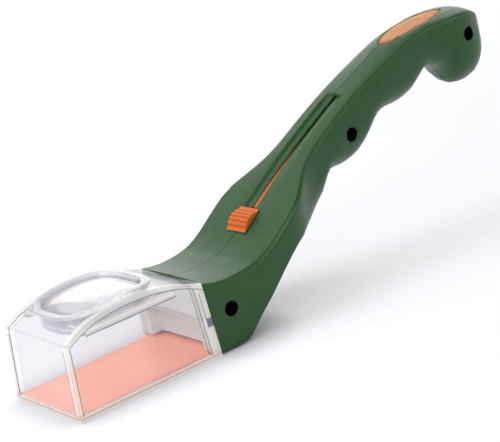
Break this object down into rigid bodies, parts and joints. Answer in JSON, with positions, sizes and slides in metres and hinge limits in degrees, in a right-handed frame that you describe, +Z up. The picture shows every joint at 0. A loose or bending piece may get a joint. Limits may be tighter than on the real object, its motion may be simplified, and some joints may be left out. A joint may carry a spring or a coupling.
{
  "type": "bug viewer",
  "caption": "Hand-held bug viewer: a clear catching chamber with a magnifying lens in its roof, on a curved grip whose thumb slider draws the trap door open.",
  "frame": {"origin": "under the middle of the part, level with the underside of the chamber that it stands on", "axes": "+X from the chamber to the end of the handle, +Z up, and +Y across, so that the screw holes are on the -Y side"},
  "size_m": [0.2962, 0.058, 0.1125],
  "materials": {
    "clear_plastic": "polished clear",
    "lens_acrylic": "polished clear",
    "frosted_plastic": "satin grey",
    "guide_plastic": "satin grey",
    "green_plastic": "satin green",
    "tan_inlay": "embossed tan",
    "orange_plastic": "satin orange",
    "screw_steel": "blackened",
    "rivet_metal": "plain"
  },
  "bodies": {
    "housing": {"chamber_body": "clear_plastic", "chamber_base_frame": "clear_plastic", "lens_collar": "clear_plastic", "magnifier_lens": "lens_acrylic", "rear_bulkhead": "frosted_plastic", "guide_ramp_lower": "guide_plastic", "guide_ramp_upper": "guide_plastic", "handle_shell_left": "green_plastic", "handle_shell_right": "green_plastic", "grip_inlay": "tan_inlay", "door_web": "orange_plastic", "shell_screw_front": "screw_steel", "shell_screw_middle": "screw_steel", "shell_screw_rear": "screw_steel"},
    "slider": {"thumb_slider": "orange_plastic", "slider_carriage": "orange_plastic", "draw_strip": "orange_plastic", "strip_rivet_front": "rivet_metal", "strip_rivet_rear": "rivet_metal"},
    "door": {"trap_door": "orange_plastic"}
  },
  "joints": [
    {"name": "thumb_slide", "type": "hinge", "parent": "housing", "child": "slider", "pos_m": [0.27135, 0, -0.357], "axis": [0, 1, 0], "range_deg": [0, 8.3]},
    {"name": "door_slide", "type": "slide", "parent": "housing", "child": "door", "axis": [1, 0, 0], "range_m": [0, 0.0717], "deforming": ["trap_door"]}
  ],
  "couplings": [
    {"joint": "door_slide", "follows": "thumb_slide", "m_per_rad": 0.4944}
  ]
}
